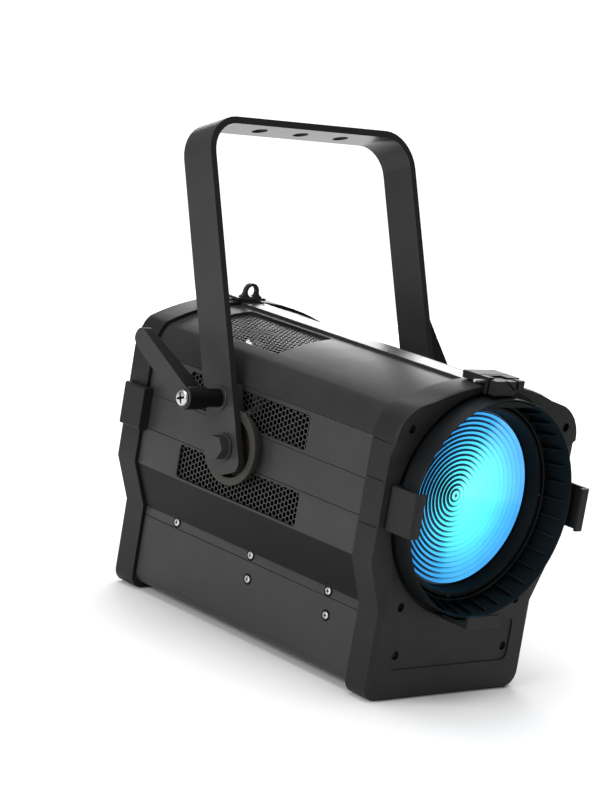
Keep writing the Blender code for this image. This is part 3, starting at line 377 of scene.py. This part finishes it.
def spun(shape, profile, axis="Y", centre=(0.0, 0.0, 0.0), steps=96, closed=True, side=1):
    """Add a lathe of (radius, station) points to shape, about the given axis."""
    rings = []
    for radius, station in profile:
        ring = []
        count = 1 if radius < 1e-7 else steps
        for k in range(count):
            angle = 2.0 * math.pi * k / steps
            a, b = radius * math.cos(angle), radius * math.sin(angle)
            if axis == "Y":
                place = (a, station, b)
            elif axis == "X":
                place = (side * station, a, b)
            else:
                place = (a, b, station)
            ring.append(shape.verts.new(Vector(place) + Vector(centre)))
        rings.append(ring)
    faces = []
    pairs = list(zip(rings, rings[1:] + ([rings[0]] if closed else [])))
    for first, second in pairs:
        if len(first) == 1 and len(second) == 1:
            continue
        for k in range(steps):
            n = (k + 1) % steps
            corners = [first[k % len(first)], first[n % len(first)],
                       second[n % len(second)], second[k % len(second)]]
            unique = []
            for corner in corners:
                if corner not in unique:
                    unique.append(corner)
            if len(unique) > 2:
                faces.append(shape.faces.new(unique))
    return faces


def lathe(name, profile, axis, centre, material, body, node=None, steps=96, side=1, closed=True):
    shape = bmesh.new()
    spun(shape, profile, axis, centre, steps, closed, side)
    return new_object(name, mesh_of(shape, name), material, body, node)


def prism(shape, outline, low, high, plane="XZ"):
    """Add an extruded closed outline: XZ runs along Y, YZ along X and XY along Z."""
    def place(u, v, w):
        return {"XZ": (u, w, v), "YZ": (w, u, v), "XY": (u, v, w)}[plane]
    bottom = [shape.verts.new(place(u, v, low)) for u, v in outline]
    top = [shape.verts.new(place(u, v, high)) for u, v in outline]
    made = [shape.faces.new(bottom[::-1]), shape.faces.new(top)]
    for k in range(len(outline)):
        n = (k + 1) % len(outline)
        made.append(shape.faces.new((bottom[k], bottom[n], top[n], top[k])))
    return made


def add_bevel(item, width, segments=2, angle=30.0):
    bevel = item.modifiers.new("edges", "BEVEL")
    bevel.width = width
    bevel.segments = segments
    bevel.limit_method = "ANGLE"
    bevel.angle_limit = math.radians(angle)
    bevel.use_clamp_overlap = True
    bevel.harden_normals = False
    weighted = item.modifiers.new("shading", "WEIGHTED_NORMAL")
    weighted.keep_sharp = False
    weighted.weight = 80


def dress(node, material, bevel=0.0006, segments=2, angle=30.0, merge_flats=True):
    """Give a CAD piece its finish and soft edges."""
    item = NODES[node]
    item.data.materials.clear()
    item.data.materials.append(MAT[material] if isinstance(material, str) else material)
    if "custom_normal" in item.data.attributes:
        item.data.attributes.remove(item.data.attributes["custom_normal"])
    item.data.shade_smooth()
    weld = item.modifiers.new("weld", "WELD")
    weld.merge_threshold = 0.000005
    if merge_flats:
        flat = item.modifiers.new("flats", "DECIMATE")
        flat.decimate_type = "DISSOLVE"
        flat.angle_limit = math.radians(0.7)
    if bevel:
        add_bevel(item, bevel, segments, angle)


def arch_z(x, inset):
    half = UPPER_HALF - SHOULDER_STEP
    rise = CROWN_Z - SHOULDER_Z
    radius = (half * half + rise * rise) / (2.0 * rise)
    return CROWN_Z - radius + math.sqrt((radius - inset) ** 2 - x * x)


# ---------------------------------------------------------------- perforated sheets
def honeycomb(name, low_u, low_v, high_u, high_v, pitch, wall, thickness, place, body, node):
    """A sheet of hexagonal holes over a rectangle; place maps (u, v, depth) to a point."""
    shape = bmesh.new()
    outer_r = pitch / math.sqrt(3.0)
    inner_r = (pitch - wall) / math.sqrt(3.0)
    column = outer_r * 1.5
    keep = {}

    def vertex(u, v, depth):
        key = (round(u * 1e6), round(v * 1e6), round(depth * 1e6))
        if key not in keep:
            keep[key] = shape.verts.new(place(u, v, depth))
        return keep[key]

    columns = int((high_u - low_u) / column) + 1
    rows = int((high_v - low_v) / pitch) + 1
    for i in range(columns):
        for j in range(rows):
            cu = low_u + column * (i + 0.5)
            cv = low_v + pitch * (j + 0.5 + 0.5 * (i % 2))
            if cu > high_u or cv > high_v:
                continue
            rim, hole = [], []
            for k in range(6):
                angle = math.radians(60.0 * k)
                rim.append((cu + outer_r * math.cos(angle), cv + outer_r * math.sin(angle)))
                hole.append((cu + inner_r * math.cos(angle), cv + inner_r * math.sin(angle)))
            for k in range(6):
                n = (k + 1) % 6
                front = [vertex(*rim[k], 0.0), vertex(*rim[n], 0.0), vertex(*hole[n], 0.0),
                         vertex(*hole[k], 0.0)]
                back = [vertex(*rim[k], thickness), vertex(*hole[k], thickness),
                        vertex(*hole[n], thickness), vertex(*rim[n], thickness)]
                side = [vertex(*hole[k], 0.0), vertex(*hole[n], 0.0), vertex(*hole[n], thickness),
                        vertex(*hole[k], thickness)]
                for corners in (front, back, side):
                    shape.faces.new(corners)
    key_of = {vert: key for key, vert in keep.items()}
    depth_key = round(thickness * 1e6)
    for edge in [edge for edge in shape.edges if len(edge.link_faces) == 1]:
        keys = [key_of[vert] for vert in edge.verts]
        if keys[0][2] == 0 and keys[1][2] == 0:
            behind = [keep.get((u, v, depth_key)) for u, v, _ in keys]
            if all(behind):
                shape.faces.new((*edge.verts, behind[1], behind[0]))
    return new_object(name, mesh_of(shape, name, 0), MAT["grille_paint"], body, node)


def grilles():
    inner = UPPER_HALF - BODY_INSET - SHEET - 0.0003
    for side, word in SIDES.items():
        def place(u, v, depth, side=side):
            return (side * (inner - depth), u, v)
        honeycomb(word + "_side_mesh", -0.066, 0.1125, 0.1010, 0.2115, 0.0048, 0.00065, 0.0005,
                  place, "head", word + "_side_grille")
    inset = BODY_INSET + SHEET + 0.0006

    def place_top(u, v, depth):
        return (u, v, arch_z(u, inset) - depth)
    for side, word in SIDES.items():
        low, high = sorted((side * 0.0196, side * 0.0825))
        honeycomb(word + "_top_mesh", low, 0.0140, high, 0.1255, 0.0044, 0.0008, 0.0003,
                  place_top, "head", "top_grille" if side < 0 else None)


# ---------------------------------------------------------------- optics
def lens():
    """Dished lens of stepped rings: bright facets with steep sides in painted shade."""
    shape = bmesh.new()
    dish = 0.0070
    step = 0.0016
    slant = 0.0011

    def dished(radius):
        return LENS_RIM_Y + dish * (1.0 - (radius / LENS_RADIUS) ** 2)

    profile = [(0.0, dished(0.0) - 0.0004), (LENS_CENTRE, dished(LENS_CENTRE) - 0.0002)]
    for k in range(LENS_RINGS):
        start = LENS_CENTRE + (LENS_RADIUS - LENS_CENTRE) * k / LENS_RINGS
        end = LENS_CENTRE + (LENS_RADIUS - LENS_CENTRE) * (k + 1) / LENS_RINGS
        profile.append((start + slant, dished(start) + step * 0.55))
        profile.append((end, dished(end) - step * 0.45))
    profile += [(LENS_RADIUS + 0.0006, LENS_RIM_Y + 0.0002), (0.0760, LENS_RIM_Y),
                (0.0765, -0.1393), (0.0765, LENS_BACK_Y), (0.0, LENS_BACK_Y)]
    spun(shape, profile, "Y", (0.0, 0.0, LENS_Z), 128, False)
    mesh = mesh_of(shape, "stepped_lens", 12.0)
    mesh.materials.append(MAT["lens"])
    mesh.materials.append(MAT["riser"])
    for face in mesh.polygons:
        centre = face.center
        radius = math.hypot(centre.x, centre.z - LENS_Z)
        lean = face.normal.x * centre.x + face.normal.z * (centre.z - LENS_Z)
        outward = lean / max(radius, 1e-6)
        if outward > 0.45 or radius > 0.0740 or face.normal.y > 0.5:
            face.material_index = 1
    new_object("stepped_lens", mesh, None, "head", "fresnel_lens")


def finned_collar():
    """Flared collar with radial ribs between its inner ring and its rim."""
    shape = bmesh.new()
    profile = [(0.0811, -0.1499), (0.0811, -0.1528), (0.0816, -0.1535), (0.0824, -0.1535),
               (0.0828, -0.1530), (0.0830, -0.1512), (0.0874, -0.1512), (0.0895, -0.1750),
               (0.0897, -0.1760), (0.0900, -0.1764), (0.0903, -0.1761), (0.0905, -0.1753),
               (0.0905, -0.1640), (0.0905, -0.1499)]
    spun(shape, profile, "Y", (0.0, 0.0, LENS_Z), 144)
    fins = 36
    for k in range(fins):
        middle = 2.0 * math.pi * k / fins + math.radians(2.0)
        half = 0.0006
        outline = [(0.0829, -0.1510), (0.0876, -0.1510), (0.0887, -0.1715), (0.0868, -0.1690),
                   (0.0829, -0.1540)]
        corners = []
        for offset in (-half, half):
            row = []
            for radius, station in outline:
                out = Vector((math.cos(middle), 0.0, math.sin(middle)))
                across = Vector((-math.sin(middle), 0.0, math.cos(middle)))
                point = out * radius + across * offset
                row.append(shape.verts.new((point.x, station, point.z + LENS_Z)))
            corners.append(row)
        shape.faces.new(corners[0])
        shape.faces.new(corners[1][::-1])
        for a in range(len(outline)):
            b = (a + 1) % len(outline)
            shape.faces.new((corners[0][a], corners[1][a], corners[1][b], corners[0][b]))
    web = []
    radius = 0.0886
    limit = math.acos(0.0838 / radius)
    for k in range(17):
        angle = math.pi / 2 - limit + 2.0 * limit * k / 16
        web.append((radius * math.cos(angle), LENS_Z + radius * math.sin(angle)))
    prism(shape, web, -0.1745, -0.1640)
    new_object("finned_collar", mesh_of(shape, "finned_collar", 32.0), MAT["collar_plastic"],
               "head", "fin_ring")


# ---------------------------------------------------------------- fasteners
def cross_head(name, radius, height, recess=0.55):
    """A pan head with a cross recess, lying along +Z from z 0, as a mesh."""
    shape = bmesh.new()
    profile = [(radius, 0.0), (radius, height * 0.35), (radius * 0.93, height * 0.68),
               (radius * 0.72, height * 0.90), (radius * 0.40, height), (0.0, height)]
    spun(shape, [(0.0, 0.0)] + profile, "Z", steps=28, closed=False)
    head = new_object(name, mesh_of(shape, name, 40.0))
    cross = bmesh.new()
    arm, width = radius * recess, radius * 0.17
    outline = [(arm, -width * 0.6), (arm, width * 0.6), (width, width), (width * 0.6, arm),
               (-width * 0.6, arm), (-width, width), (-arm, width * 0.6), (-arm, -width * 0.6),
               (-width, -width), (-width * 0.6, -arm), (width * 0.6, -arm), (width, -width)]
    prism(cross, outline, height * 0.25, height * 1.4, "XY")
    cutter = new_object(name + "_cross", mesh_of(cross, name + "_cross", 0))
    step = head.modifiers.new("recess", "BOOLEAN")
    step.object = cutter
    step.solver = "EXACT"
    settle(head)
    mesh = head.data
    mesh.materials.clear()
    mesh.materials.append(MAT["zinc_steel"])
    mesh.materials.append(MAT["recess_painted_shade"])
    # faces inside the cross recess take the painted shade
    for face in mesh.polygons:
        inside = math.hypot(face.center.x, face.center.y) < radius * 0.9
        if inside and (abs(face.normal.z) < 0.2 or face.center.z < height * 0.3):
            face.material_index = 1
    bpy.data.objects.remove(cutter, do_unlink=True)
    bpy.data.objects.remove(head, do_unlink=True)
    return mesh


def scatter(name, mesh, places, material, body):
    """One piece made of copies of a mesh. places are (position, outward direction, turn)."""
    shape = bmesh.new()
    for position, outward, turn in places:
        copy = mesh.copy()
        aim = Vector(outward).to_track_quat("Z", "Y").to_matrix().to_4x4()
        copy.transform(Matrix.Translation(position) @ aim @ Matrix.Rotation(turn, 4, "Z"))
        shape.from_mesh(copy)
        bpy.data.meshes.remove(copy)
    made = bpy.data.meshes.new(name)
    shape.to_mesh(made)
    shape.free()
    made.shade_smooth()
    made.set_sharp_from_angle(angle=math.radians(35))
    new_object(name, made, material, body)
    made.materials.append(MAT["recess_painted_shade"])


def fasteners():
    small = cross_head("side_screw", 0.0032, 0.0013, 0.66)
    spots = ((0.1030, 0.0728), (0.0046, 0.0728), (-0.0930, 0.0723), (0.0036, 0.0525),
             (-0.0947, 0.0524))
    well = ((0.0034, SIDE_X + 0.00035), (0.0046, SIDE_X + 0.00035), (0.0048, SIDE_X + 0.00015),
            (0.0048, SIDE_X - 0.0004), (0.0034, SIDE_X - 0.0004))
    for side, word in SIDES.items():
        places = [((side * (SIDE_X - 0.0002), y, z), (side, 0.0, 0.0), 0.5 + 0.7 * k)
                  for k, (y, z) in enumerate(spots)]
        scatter(word + "_side_screws", small, places, MAT["zinc_steel"], "head")
        # the wells round the screws are coloured with the painted shade
        rings = bmesh.new()
        for y, z in spots:
            spun(rings, well, "X", (0.0, y, z), 24, True, side)
        new_object(word + "_screw_wells", mesh_of(rings, word + "_screw_wells", 35),
                   MAT["recess_painted_shade"], "head")
    tiny = cross_head("ring_screw", 0.0015, 0.0005)
    places = []
    radius = 0.0785
    for angle in (3.0, 93.0, 177.0, 264.0):
        places.append(((radius * math.cos(math.radians(angle)), -0.1524,
                        LENS_Z + radius * math.sin(math.radians(angle))), (0.0, -1.0, 0.0), angle))
    scatter("ring_screws", tiny, places, MAT["black_steel"], "head")


# ---------------------------------------------------------------- lock levers
def lever_blade(side, angle):
    """Tapered blade in the lever's own frame: (along, up) turned by angle, thinner at the tip."""
    shape = bmesh.new()
    stations = ((0.0010, -0.0089, 0.0087), (0.0300, -0.0086, 0.0088), (0.0600, -0.0082, 0.0088),
                (0.0760, -0.0068, 0.0088), (0.0786, -0.0058, 0.0082), (0.0804, -0.0044, 0.0066),
                (0.0815, -0.0022, 0.0044), (0.0820, 0.0000, 0.0022))
    rows = []
    for along, low, top in stations:
        outer = 0.1566
        inner = 0.1400 + 0.0950 * max(along, 0.0)
        rows.append([(inner, along, low), (outer, along, low), (outer, along, top),
                     (inner, along, top)])
    verts = []
    for row in rows:
        made = []
        for x, along, up in row:
            y = along * math.cos(angle) - up * math.sin(angle)
            z = along * math.sin(angle) + up * math.cos(angle)
            made.append(shape.verts.new((side * x, y, z)))
        verts.append(made)
    shape.faces.new(verts[0])
    shape.faces.new(verts[-1][::-1])
    for first, second in zip(verts, verts[1:]):
        for a in range(4):
            b = (a + 1) % 4
            shape.faces.new((first[a], first[b], second[b], second[a]))
    return shape


def lock_levers():
    centre = Vector((0.0, PIVOT.y + LOCK_UP * math.sin(LEAN), PIVOT.z + LOCK_UP * math.cos(LEAN)))
    angles = {-1: math.radians(27.4), 1: math.radians(47.0)}
    for side, word in SIDES.items():
        blade = new_object(word + "_blade", mesh_of(lever_blade(side, angles[side]),
                                                    word + "_blade", 0))
        hub = bmesh.new()
        base = YOKE_HALF + 0.0003
        profile = [(0.0042, base), (0.0075, base), (0.0078, base + 0.0006), (0.0076, 0.1348),
                   (0.0094, 0.1356), (0.0097, 0.1362), (0.0095, 0.1555), (0.0088, 0.1566),
                   (0.0080, 0.1570), (0.0073, 0.1568), (0.0073, 0.1490), (0.0042, 0.1490)]
        spun(hub, profile, "X", (0.0, 0.0, 0.0), 48, True, side)
        hub_piece = new_object(word + "_hub", mesh_of(hub, word + "_hub", 0))
        cavity = bmesh.new()
        spun(cavity, [(0.0, 0.1491), (0.00731, 0.1491), (0.00731, 0.17), (0.0, 0.17)], "X",
             steps=48, closed=False, side=side)
        cavity_piece = new_object(word + "_cavity", mesh_of(cavity, word + "_cavity", 0))
        cut = blade.modifiers.new("cavity", "BOOLEAN")
        cut.object = cavity_piece
        cut.solver = "EXACT"
        settle(blade)
        union = hub_piece.modifiers.new("blade", "BOOLEAN")
        union.operation = "UNION"
        union.object = blade
        union.solver = "EXACT"
        settle(hub_piece)
        mesh = hub_piece.data
        for spare in (blade, cavity_piece, hub_piece):
            bpy.data.objects.remove(spare, do_unlink=True)
        mesh.transform(Matrix.Translation(centre))
        mesh.shade_smooth()
        item = new_object(word + "_lever_handle", mesh, MAT["handle_plastic_facing_shade"], word + "_handle",
                          word + "_lock_lever")
        add_bevel(item, 0.0006, 2, 32)
        stud = bmesh.new()
        head = cross_head(word + "_stud_head", 0.0066, 0.0024, 0.74)
        aim = Vector((side, 0.0, 0.0)).to_track_quat("Z", "Y").to_matrix().to_4x4()
        head.transform(Matrix.Translation((side * (STUD_END + 0.0002), 0.0, 0.0)) @ aim
                       @ Matrix.Rotation(0.35, 4, "Z"))
        stud.from_mesh(head)
        bpy.data.meshes.remove(head)
        spun(stud, [(0.0, STUD_END), (0.0068, STUD_END), (0.0068, 0.1545), (0.0039, 0.1545),
                    (0.0039, 0.1055), (0.0, 0.1055)], "X", steps=32, closed=False, side=side)
        bmesh.ops.translate(stud, vec=centre, verts=stud.verts)
        mesh = bpy.data.meshes.new(word + "_stud")
        stud.to_mesh(mesh)
        stud.free()
        mesh.shade_smooth()
        mesh.set_sharp_from_angle(angle=math.radians(35))
        new_object(word + "_stud", mesh, MAT["zinc_steel"], word + "_stud", word + "_lock_stud")
        mesh.materials.append(MAT["recess_painted_shade"])
        washer = [(0.0046, YOKE_HALF + 0.0014), (0.0103, YOKE_HALF + 0.0014),
                  (0.0107, YOKE_HALF + 0.0011), (0.0107, YOKE_HALF + 0.0001),
                  (0.0046, YOKE_HALF + 0.0001)]
        lathe(word + "_lock_washer", washer, "X", centre, MAT["black_steel"], "yoke", steps=48,
              side=side)


# ---------------------------------------------------------------- finishes on the CAD pieces
def finishes():
    for node in ("base_tray", "left_side_rail", "right_side_rail", "left_upper_panel",
                 "right_upper_panel"):
        dress(node, "paint", 0.0004, 2)
    for node in ("left_lower_panel", "right_lower_panel"):
        dress(node, "lower_paint_slope_shade", 0.0004, 2)
    for node in ("left_top_cover", "right_top_cover"):
        dress(node, "cover_paint", 0.0004, 2)
    dress("top_spine", "spine_paint", 0.0005, 2)
    dress("front_bezel", "casting_paint", 0.0005, 1, 25.0, False)
    dress("rear_frame", "casting_paint", 0.0007, 2)
    dress("lens_ring", "collar_plastic", 0.0003, 2)
    for node in ("left_accessory_holder", "right_accessory_holder", "bottom_accessory_holder",
                 "latch_base", "latch_gate"):
        dress(node, "casting_paint", 0.0004, 2)
    dress("latch_pin", "zinc_steel", 0.0003, 2)
    dress("safety_eye", "black_steel", 0.0005, 2)
    dress("rear_panel", "paint", 0.0002, 1)
    for node in ("fan_frame", "fan_rotor", "power_in_socket", "power_out_socket", "display_window",
                 "menu_button_1", "menu_button_2", "menu_button_3", "menu_button_4"):
        dress(node, "black_plastic", 0.0003, 2)
    for node in ("fan_guard", "data_in_socket", "data_out_socket", "zoom_motor", "left_lock_shoe",
                 "right_lock_shoe", "left_pivot_bolt", "right_pivot_bolt", "left_pivot_washer",
                 "right_pivot_washer"):
        dress(node, "black_steel", 0.0003, 2)
    # inner parts take the near-black painted shade
    for node in ("rear_bulkhead", "led_engine", "heat_sink", "power_supply"):
        dress(node, "inner_metal_painted_shade", 0.0003, 1)
    for node in ("left_guide_rod", "right_guide_rod", "zoom_screw"):
        dress(node, "inner_steel", 0.0002, 1)
    dress("driver_board", "black_plastic", 0.0, 1)
    for node in ("left_pivot_cup", "right_pivot_cup"):
        dress(node, "cup", 0.0004, 2)
    dress("yoke_bracket", "yoke_paint_facing_shade", 0.0007, 2)


# ---------------------------------------------------------------- stage
def floor():
    shape = bmesh.new()
    bmesh.ops.create_circle(shape, cap_ends=True, segments=96, radius=1.9)
    mesh = mesh_of(shape, "floor", 0)
    item = new_object("floor", mesh)
    item.location = (0.0, 0.0, -0.0004)
    shader = Shader("floor_white")
    tone = shader.ramp(shader.noise(0.7), ((0.3, grey(0.90)), (0.7, grey(0.93))))
    shader.link(tone, "Base Color")
    shader.set(Roughness=0.95, Specular_IOR_Level=0.0)
    mesh.materials.append(shader.material)


def area(name, location, target, size_x, size_y, power):
    data = bpy.data.lights.new(name, "AREA")
    data.shape = "RECTANGLE"
    data.size = size_x
    data.size_y = size_y
    data.energy = power
    item = bpy.data.objects.new(name, data)
    item.location = location
    item.rotation_euler = (Vector(target) - Vector(location)).to_track_quat("-Z", "Y").to_euler()
    item.visible_camera = False
    bpy.context.scene.collection.objects.link(item)


def lighting():
    world = bpy.data.worlds.new("studio")
    bpy.context.scene.world = world
    world.use_nodes = True
    nodes, links = world.node_tree.nodes, world.node_tree.links
    ambient = nodes["Background"]
    ambient.inputs["Color"].default_value = (1.0, 1.0, 1.0, 1.0)
    ambient.inputs["Strength"].default_value = 0.35
    seen = nodes.new("ShaderNodeBackground")
    seen.inputs["Color"].default_value = (1.0, 1.0, 1.0, 1.0)
    seen.inputs["Strength"].default_value = 1.2
    path = nodes.new("ShaderNodeLightPath")
    mix = nodes.new("ShaderNodeMixShader")
    links.new(path.outputs["Is Camera Ray"], mix.inputs["Fac"])
    links.new(ambient.outputs["Background"], mix.inputs[1])
    links.new(seen.outputs["Background"], mix.inputs[2])
    links.new(mix.outputs["Shader"], nodes["World Output"].inputs["Surface"])
    area("key_left", (-2.3, -0.2, 1.0), (0.0, 0.0, 0.16), 1.6, 1.2, 39.0)
    area("sky", (0.0, 0.3, 3.2), (0.0, 0.3, 0.0), 3.0, 3.0, 92.0)
    area("back_card", (1.45, 1.75, 0.95), (0.0, 0.0, 0.25), 1.5, 0.7, 26.0)


def camera():
    data = bpy.data.cameras.new("camera")
    data.sensor_fit = "HORIZONTAL"
    data.sensor_width = 36.0
    data.lens = 154.34
    data.clip_end = 100.0
    item = bpy.data.objects.new("camera", data)
    right = (0.738317, -0.654036, 0.164696)
    up = (0.000536, 0.244761, 0.969583)
    back = (-0.674454, -0.715772, 0.181062)
    place = (-1.494698, -1.519858, 0.591454)
    rows = [[right[k], up[k], back[k], place[k]] for k in range(3)] + [[0.0, 0.0, 0.0, 1.0]]
    item.matrix_world = Matrix(rows)
    bpy.context.scene.collection.objects.link(item)
    bpy.context.scene.camera = item


bpy.context.scene.view_settings.view_transform = "Standard"
finishes()
grilles()
lens()
finned_collar()
fasteners()
lock_levers()
floor()
lighting()
camera()
